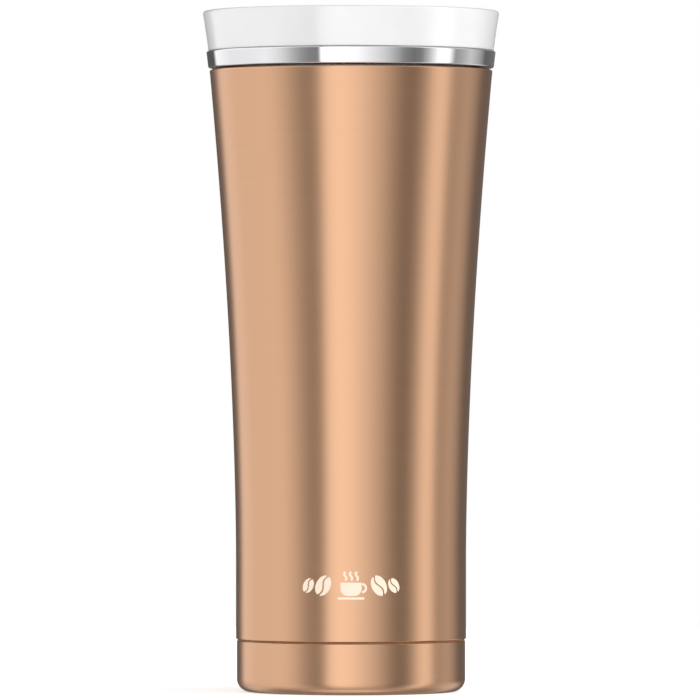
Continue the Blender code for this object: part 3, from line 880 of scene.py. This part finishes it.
SIP_CENTRE = footprint("sip_seal")[0]
SIP_HALF = (7.0 * MM, 2.8 * MM)
VENT_CENTRE = footprint("vent_seal")[0]
VENT_RADIUS = 1.3 * MM
LEG_CENTRE = (0.0, 2.0 * MM)
LEG_HALF = (2.1 * MM, 2.0 * MM)
SLOT_CENTRE = (0.0, LEG_CENTRE[1] + SLIDE / 2)
SLOT_HALF = (LEG_HALF[0] + 0.3 * MM, LEG_HALF[1] + SLIDE / 2 + 0.4 * MM)


def grown(centre, half, corner):
    """A function that gives a rounded rectangle grown by any amount."""
    return lambda grow: rounded(centre, (half[0] + grow, half[1] + grow), corner + grow)


lid_cover = lathe("moulded_lid", cover_outline())
joined(lid_cover, "UNION", rail(-1), rail(1))
sip_outline = grown(SIP_CENTRE, SIP_HALF, 2.7 * MM)
vent_outline = grown(VENT_CENTRE, (VENT_RADIUS, VENT_RADIUS), VENT_RADIUS - 0.01 * MM)
slot_outline = grown(SLOT_CENTRE, SLOT_HALF, 0.4 * MM)
holes = (sip_outline, 0.45 * MM), (vent_outline, 0.25 * MM), (slot_outline, 0.2 * MM)
cutters = [flared_hole(outline_at, DECK_LOW, DECK_TOP, flare) for outline_at, flare in holes]
joined(lid_cover, "DIFFERENCE", *cutters)
stand_for(lid_cover, "lid_cover", WHITE)

# %% [markdown]
# ## The trim band
#
# A strip of polished steel is rolled round the skirt and its edges are turned in. The two small
# corner radii matter more than anything else on it: they draw the thin dark and bright lines along
# its edges.

# %% Trim band
def band_outline():
    inner, corner, low_corner = MOUTH_RADIUS - 0.45 * MM, 0.42 * MM, 0.4 * MM
    top_radius, low_radius = radius_of("trim_ring"), 42.66 * MM
    points = [(inner, RING_TOP)]
    points += arc((top_radius - corner, RING_TOP - corner), corner, 90, -5, 9)
    points += arc((low_radius - low_corner, RING_LOW + low_corner), low_corner, -5, -90, 9)
    points.append((inner, RING_LOW))
    return points


stand_for(lathe("polished_band", sheet(band_outline(), 0.38 * MM, 2), 256), "trim_ring", POLISHED)

# %% [markdown]
# ## The lid's plug
#
# The lower moulding carries the thread and the gasket. It is turned, its thread is joined on, and
# inside it sits a small hook, which holds a tea bag's string.

# %% Plug with its thread and hook
PLUG_INNER = PLUG_OUTER - 3.0 * MM
PLUG_LOW = low("lid_plug")
PLUG_TOP = high("lid_plug")


def plug_outline():
    groove, toe = PLUG_OUTER - 1.7 * MM, PLUG_OUTER - 0.9 * MM
    groove_top, groove_low = PLUG_LOW + 3.3 * MM, PLUG_LOW + 1.0 * MM
    neck, flange, small = PLUG_OUTER - 0.2 * MM, radius_of("lid_plug"), 0.25 * MM
    points = arc((neck - small, PLUG_TOP - small), small, 90, 0, 4)
    points += [(neck, FLANGE_TOP)]
    points += arc((flange - small, FLANGE_TOP - small), small, 90, 0, 4)
    points += arc((flange - small, RING_LOW + small), small, 0, -90, 4)
    points += arc((PLUG_OUTER + small, RING_LOW - small), small, 90, 180, 4)
    points += [(PLUG_OUTER, groove_top + 0.4 * MM), (PLUG_OUTER - 0.4 * MM, groove_top)]
    points += [(groove, groove_top), (groove, groove_low), (toe, groove_low)]
    points += arc((toe - small, PLUG_LOW + small), small, 0, -90, 4)
    points += arc((PLUG_INNER + 0.6 * MM, PLUG_LOW + 0.6 * MM), 0.6 * MM, -90, -180, 6)
    points += arc((PLUG_INNER + small, PLUG_TOP - small), small, 180, 90, 4)
    return points


lid_plug = lathe("moulded_plug", plug_outline())
plug_thread = thread("plug_thread", PLUG_OUTER - 0.5 * MM, PLUG_OUTER + 1.3 * MM, THREAD_LOW - 1.7 * MM)
hook_reach, hook_low, hook_half = -PLUG_INNER + 4.2 * MM, PLUG_LOW + 0.6 * MM, 1.5 * MM
arm_end = (hook_reach, hook_half, hook_low + 1.7 * MM)
hook_arm = block((-PLUG_INNER - 0.8 * MM, -hook_half, hook_low), arm_end, 0.35 * MM)
tip_start = (hook_reach - 1.25 * MM, -hook_half + 0.15 * MM, hook_low + 0.4 * MM)
tip_end = (hook_reach - 0.05 * MM, hook_half - 0.15 * MM, hook_low + 4.0 * MM)
hook_tip = block(tip_start, tip_end, 0.4 * MM)
joined(lid_plug, "UNION", plug_thread, hook_arm, hook_tip)
stand_for(lid_plug, "lid_plug", WHITE)

# %% [markdown]
# ## The lid's seals
#
# The gasket has two soft ribs that wipe the seat. The O-ring between the two mouldings never shows,
# but it is there when the lid is taken apart.

# %% Gasket and O-ring
def gasket_outline():
    inner, outer = PLUG_OUTER - 1.4 * MM, radius_of("lid_gasket")
    skirt, groove_low = PLUG_OUTER - 0.6 * MM, PLUG_LOW + 1.3 * MM
    top, bottom, rib = high("lid_gasket"), low("lid_gasket"), 0.45 * MM
    points = [(inner, top), (outer - 0.5 * MM, top)]
    points += arc((outer - rib, top - 0.15 * MM - rib), rib, 80, -45, 7)
    points += arc((outer - rib, bottom + 0.4 * MM + rib), rib, 45, -60, 7)
    points += [(skirt + 0.15 * MM, bottom), (skirt, bottom + 0.1 * MM)]
    points += [(skirt, groove_low), (inner, groove_low)]
    return points


stand_for(lathe("ribbed_gasket", gasket_outline()), "lid_gasket", SILICONE)

ring_cord = (high("cover_seal") - low("cover_seal")) / 2
ring_centre = (PLUG_OUTER + 1.1 * MM, low("cover_seal") + ring_cord)
stand_for(lathe("o_ring", arc(ring_centre, ring_cord, 90, -255, 23)), "cover_seal", SILICONE)

# %% [markdown]
# ## The slider
#
# The thumb piece is a plate between the rails. Its leg drops through the deck and snaps into the
# carriage below, so both move together. A grey soft insert with three ribs gives the thumb a grip.

# %% Button, grip and carriage
BUTTON_TOP = BUTTON_LOW + 2.2 * MM
CARRIAGE_LOW, CARRIAGE_TOP = low("slide_carriage"), high("slide_carriage")
button_outline = rounded(*footprint("slide_button"), 2.5 * MM)
slide_button = plate("thumb_slider", button_outline, BUTTON_LOW, BUTTON_TOP, 0.7 * MM)
barb_top = CARRIAGE_LOW - 0.3 * MM


def leg_block(half, bottom, top, edge):
    """A block centred on the leg."""
    y = LEG_CENTRE[1]
    return block((-half[0], y - half[1], bottom), (half[0], y + half[1], top), edge)


leg = leg_block(LEG_HALF, barb_top - 0.5 * MM, BUTTON_LOW + 0.8 * MM, 0.2 * MM)
barb_half = (LEG_HALF[0] - 0.1 * MM, LEG_HALF[1] + 0.9 * MM)
barb = leg_block(barb_half, barb_top - 0.9 * MM, barb_top, 0.25 * MM)
joined(slide_button, "UNION", leg, barb)
stand_for(slide_button, "slide_button", WHITE)

grip_centre, grip_half = footprint("slide_grip")
rib_top, pad_top = high("slide_grip"), high("slide_grip") - 1.0 * MM
grip_outline = rounded(grip_centre, grip_half, 1.8 * MM)
slide_grip = plate("thumb_grip", grip_outline, low("slide_grip"), pad_top, 0.6 * MM)
RIB_STEP, RIB_LONG, RIB_WIDE = 2.4 * MM, 5.2 * MM, 0.5 * MM  # from one to the next, and half sizes
ribs = []
for number in range(3):
    y = grip_centre[1] + (number - 1) * RIB_STEP
    corners = (-RIB_LONG, y - RIB_WIDE, pad_top - 0.6 * MM), (RIB_LONG, y + RIB_WIDE, rib_top)
    ribs.append(block(*corners, 0.42 * MM))
joined(slide_grip, "UNION", *ribs)
stand_for(slide_grip, "slide_grip", GRIP)


def carriage_outline():
    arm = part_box("slide_carriage")
    paddle, bar, waist, arm_front = 9.2 * MM, 5.2 * MM, -22.8 * MM, 9.0 * MM
    points = [(-paddle, arm[0].y), (paddle, arm[0].y), (paddle, waist), (bar, waist)]
    points += [(bar, arm_front), (arm[1].x, arm_front), (arm[1].x, arm[1].y), (-bar, arm[1].y)]
    points += [(-bar, waist), (-paddle, waist)]
    return points


def leg_hole(bottom, top):
    half = (LEG_HALF[0] + 0.3 * MM, LEG_HALF[1] + 0.3 * MM)
    return flared_hole(grown(LEG_CENTRE, half, 0.25 * MM), bottom, top, 0.15 * MM)


slide_carriage = plate("carriage", carriage_outline(), CARRIAGE_LOW, CARRIAGE_TOP, 0.35 * MM)
joined(slide_carriage, "DIFFERENCE", leg_hole(CARRIAGE_LOW, CARRIAGE_TOP))
stand_for(slide_carriage, "slide_carriage", WHITE)

# %% [markdown]
# ## Seals on the carriage
#
# Three silicone pads ride on the carriage: one shuts the sip hole, one keeps drink out of the slot,
# and a small one shuts the vent.

# %% Slider seals
def seal_pad(name, node, corner):
    return plate(name, rounded(*footprint(node), corner), low(node), high(node), 0.3 * MM)


stand_for(seal_pad("sip_pad", "sip_seal", 2.4 * MM), "sip_seal", SILICONE)
slot_seal = seal_pad("slot_pad", "slot_seal", 1.5 * MM)
joined(slot_seal, "DIFFERENCE", leg_hole(low("slot_seal"), high("slot_seal")))
stand_for(slot_seal, "slot_seal", SILICONE)
stand_for(seal_pad("vent_pad", "vent_seal", 2.39 * MM), "vent_seal", SILICONE)

# %% [markdown]
# ## The printed mark
#
# A small cream print sits on the front above the groove. Here it is a plain row of pictures: a
# steaming cup with two coffee beans at each side. A picture could be painted on by an image, but
# shapes stay sharp at any distance. Each is a flat strip or blob with a little thickness, wrapped
# round the wall, so it catches the light as ink does.

# %% Draw and wrap the print
PRINT_MIDDLE = 32.4 * MM
INK_THICKNESS = 0.035 * MM
print_shape = bmesh.new()


def blob(outline):
    """Adds a filled flat shape to the print."""
    face = print_shape.faces.new([print_shape.verts.new((x, 0.0, z)) for x, z in outline])
    bmesh.ops.triangulate(print_shape, faces=[face])


def stroke(points, width):
    """Adds a line of even width along points, as one outline."""
    left, right = [], []
    for index, point in enumerate(points):
        side = inward(points, index) * (width / 2)
        left.append(Vector(point) + side)
        right.append(Vector(point) - side)
    for a, b, c, d in zip(left, left[1:], right[1:], right):
        print_shape.faces.new([print_shape.verts.new((x, 0.0, z)) for x, z in (a, b, c, d)])


def steam(x):
    shares = [step / 12 for step in range(13)]
    sways = [0.34 * MM * math.sin(2 * math.pi * share) for share in shares]
    return [(x + sway, PRINT_MIDDLE + (1.55 + 2.5 * up) * MM) for sway, up in zip(sways, shares)]


def bean(x, tilt, long_half, short_half):
    """Two halves of an oval with a wavy gap between them, turned by tilt degrees."""
    turn = Matrix.Rotation(math.radians(tilt), 2)
    middle = Vector((x, PRINT_MIDDLE))
    gap = 0.11 * short_half
    for side in (1, -1):
        points = []
        for step in range(19):
            angle = math.pi * (0.06 + 0.88 * step / 18)
            points.append(Vector((long_half * math.cos(angle), side * short_half * math.sin(angle))))
        for step in range(1, 16):
            along = -1 + 2 * step / 16
            wave = 0.23 * short_half * math.sin(math.pi * along)
            points.append(Vector((0.95 * long_half * along, wave + side * gap)))
        blob([tuple(middle + turn @ point) for point in points])


cup_half, cup_corner, line = 3.1 * MM, 2.1 * MM, 0.62 * MM
cup_top, cup_low = PRINT_MIDDLE + 0.9 * MM, PRINT_MIDDLE - 3.0 * MM
bowl = [(-cup_half, cup_top), (cup_half, cup_top)]
bowl += arc((cup_half - cup_corner, cup_low + cup_corner), cup_corner, 0, -90, 8)
bowl += arc((-cup_half + cup_corner, cup_low + cup_corner), cup_corner, -90, -180, 8)
blob(bowl)
stroke(arc((cup_half + 0.12 * MM, PRINT_MIDDLE - 0.7 * MM), 1.2 * MM, 88, -88, 12), line)
stroke([(-3.9 * MM, cup_low - 0.75 * MM), (3.9 * MM, cup_low - 0.75 * MM)], line)
for wisp in (-1.7 * MM, 0.0, 1.7 * MM):
    stroke(steam(wisp), line)
for side in (-1, 1):
    bean(side * 8.3 * MM, 90 + side * 28, 3.2 * MM, 2.2 * MM)
    bean(side * 12.9 * MM, 90 + side * 28, 2.3 * MM, 1.6 * MM)
bmesh.ops.remove_doubles(print_shape, verts=print_shape.verts, dist=0.002 * MM)
long_edges = [edge for edge in print_shape.edges if edge.calc_length() > 0.8 * MM]
bmesh.ops.subdivide_edges(print_shape, edges=long_edges, cuts=3, use_grid_fill=False)
bmesh.ops.triangulate(print_shape, faces=print_shape.faces)
for face in print_shape.faces:
    if face.normal.y > 0:
        face.normal_flip()
front = set(pulled_out(print_shape, print_shape.faces[:]))
for vert in print_shape.verts:
    lift = INK_THICKNESS if vert in front else -0.01 * MM
    radius = side_radius(vert.co.z) + lift
    angle = vert.co.x / side_radius(vert.co.z)
    vert.co = (radius * math.sin(angle), -radius * math.cos(angle), vert.co.z)
bmesh.ops.recalc_face_normals(print_shape, faces=print_shape.faces)
add_detail(as_piece("printed_mark", print_shape), "tumbler", INK)

# %% [markdown]
# ## The studio
#
# The tumbler stands on a pale floor in a soft light tent. Polished metal shows nothing but what
# stands round it, so the tent is a sky whose brightness changes with direction: a bright strip just
# left of the camera, softer panels at both sides, dark gaps between them, and an even, dimmer
# ceiling. The angles go round the tumbler, 0 towards the camera and positive to its right. Below the
# horizon lie the parts of the floor that the rounded foot and the band's lower edge mirror.

# %% Light tent
TENT = (
    (-180, 0.2), (-170, 0.1), (-144, 0.1), (-138, 1.1), (-112, 0.9), (-86, 0.93),
    (-73, 0.98), (-64, 0.88), (-56, 0.72), (-48, 0.5), (-41, 0.34), (-33, 0.24),
    (-26, 0.23), (-24, 1.36), (-8, 1.33), (4, 1.16), (12, 1.0), (28, 0.68), (36, 0.46),
    (44, 0.25), (52, 0.18), (59, 0.23), (65, 0.5), (70, 0.82), (75, 1.2), (86, 1.22),
    (93, 0.34), (101, 0.44), (113, 0.64), (128, 0.36), (137, 0.13), (180, 0.2),
)
TENT_BRIGHTEST = max(level for _, level in TENT)
# Higher up, the walls' brightness times a gain plus a base takes over while z grows between two values.
UPPER_WALLS = ((1.2, 0.04, 0.05, 0.35), (0.5, 0.4, 0.5, 0.75))
# A patch of one brightness is as strong as the product of its fades: an axis, where it starts, where
# it is full. Y points away from the camera and Z up.
PATCHES = (
    (0.45, ("Z", 0.8, 0.95)),  # ceiling
    (0.5, ("Z", -0.5, -0.92)),  # floor
    (1.1, ("Z", -0.9, -0.98)),  # floor under the foot
    (0.8, ("Z", -0.1, -0.3), ("Y", 0.2, 0.6), ("Z", -0.75, -0.5)),  # glow behind the tumbler
    (0.3, ("Z", -0.55, -0.8), ("Y", 0.0, 0.3)),  # shade close behind it
    (0.12, ("Z", -0.02, -0.15), ("Y", 0.75, 0.9)),  # dark line just under the horizon
)


class Sky(Tree):
    """The world, with short calls for sums and fades."""

    def __init__(self, name):
        world = bpy.data.worlds.new(name)
        bpy.context.scene.world = world
        super().__init__(world)
        self.nodes.clear()

    def math(self, operation, *values):
        made = self.add("Math")
        made.operation = operation
        for socket, value in zip(made.inputs, values):
            if isinstance(value, (int, float)):
                socket.default_value = value
            else:
                self.links.new(value, socket)
        return made.outputs[0]

    def blend(self, first, second, share):
        difference = self.math("SUBTRACT", second, first)
        return self.math("ADD", first, self.math("MULTIPLY", difference, share))

    def fade(self, value, start, end):
        """Grows smoothly from 0 at start to 1 at end."""
        made = self.add("MapRange", From_Min=start, From_Max=end, To_Min=0.0, To_Max=1.0)
        made.interpolation_type = "SMOOTHSTEP"
        self.links.new(value, made.inputs["Value"])
        return made.outputs["Result"]


def light_tent():
    sky = Sky("light_tent")
    place, split, panels = sky.add("TexCoord"), sky.add("SeparateXYZ"), sky.add("ValToRGB")
    sky.links.new(place.outputs["Generated"], split.inputs[0])
    x, y, z = split.outputs
    around = sky.math("ARCTAN2", x, sky.math("MULTIPLY", y, -1.0))
    turn = sky.math("MULTIPLY_ADD", around, 0.5 / math.pi, 0.5)
    stops = panels.color_ramp.elements
    while len(stops) < len(TENT):
        stops.new(1.0)
    for stop, (angle, level) in zip(stops, TENT):
        stop.position = angle / 360 + 0.5
        stop.color = (*([level / TENT_BRIGHTEST] * 3), 1.0)
    sky.links.new(turn, panels.inputs[0])
    walls = sky.math("MULTIPLY", panels.outputs[0], TENT_BRIGHTEST)
    lit = walls
    for gain, base, start, end in UPPER_WALLS:
        lit = sky.blend(lit, sky.math("MULTIPLY_ADD", walls, gain, base), sky.fade(z, start, end))
    for brightness, *fades in PATCHES:
        shares = [sky.fade(split.outputs[axis], start, end) for axis, start, end in fades]
        share = shares[0]
        for other in shares[1:]:
            share = sky.math("MULTIPLY", share, other)
        lit = sky.blend(lit, brightness, share)
    level = sky.blend(lit, 1.0, sky.add("LightPath").outputs["Is Camera Ray"])
    light, out = sky.add("Background", Color=(1.0, 1.0, 1.0, 1.0)), sky.add("OutputWorld")
    sky.links.new(level, light.inputs["Strength"])
    sky.links.new(light.outputs[0], out.inputs["Surface"])


light_tent()
bpy.context.scene.view_settings.view_transform = "Standard"
print("light tent with", len(TENT), "steps round the tumbler")

# %% [markdown]
# ## A soft light from the right
#
# The white lid is brighter on its right. A wide lamp high on that side does it. It is switched off
# for reflections, so the copper and the trim band still mirror only the tent.

# %% Side lamp
side_lamp = bpy.data.lights.new("side_lamp", "SUN")
side_lamp.energy = 1.4
side_lamp.angle = math.radians(60.0)
lamp = placed("side_lamp", side_lamp)
lamp.rotation_euler = (math.radians(55.0), 0.0, math.radians(70.0))
lamp.visible_glossy = False
print("side lamp of", round(side_lamp.energy, 2))

# %% [markdown]
# ## The floor
#
# A matt pale disc stands for the table. It is left out of reflections, so that the flared wall
# mirrors the tent and not the table.

# %% Floor
FLOOR_RADIUS = 0.6
table = bmesh.new()
bmesh.ops.create_circle(table, cap_ends=True, radius=FLOOR_RADIUS, segments=128)
floor = as_piece("floor", table)
floor.location.z = -0.05 * MM
pale = Finish("pale_table", (0.93, 0.93, 0.935))
pale.set("Emission Color", (1.0, 1.0, 1.0, 1.0))
pale.set("Emission Strength", 0.45)
pale.rough_by(pale.between(pale.noise((40.0, 40.0, 40.0), detail=3.0), 0.75, 0.9))
floor.data.materials.append(pale.material)
floor.visible_glossy = False
print("floor", FLOOR_RADIUS * 2, "m across")

# %% [markdown]
# ## The camera
#
# A long lens from 2.4 metres away keeps the sides nearly parallel. The eye is a little above the
# tumbler's middle, so the band's lower edge bows up and the groove near the foot bows down.

# %% Camera
SENSOR = 36.0
EYE = Vector((-0.31 * MM, -2.4, 95.8 * MM))
TARGET = Vector((-0.31 * MM, 0.0, 101.88 * MM))
VIEW_WIDTH = 209.05 * MM
lens = SENSOR * (TARGET - EYE).length / VIEW_WIDTH
camera_data = bpy.data.cameras.new("camera")
camera_data.sensor_width, camera_data.lens, camera_data.clip_end = SENSOR, lens, 50.0
camera = placed("camera", camera_data)
camera.location = EYE
camera.rotation_mode = "QUATERNION"
camera.rotation_quaternion = (TARGET - EYE).to_track_quat("-Z", "Y")
bpy.context.scene.camera = camera
print("lens", round(lens, 1), "mm")

# %% [markdown]
# ## Bring the scene up to date
#
# The finish must not change the tumbler's size. Here the scene is only brought up to date.

# %% Finish
bpy.context.view_layer.update()
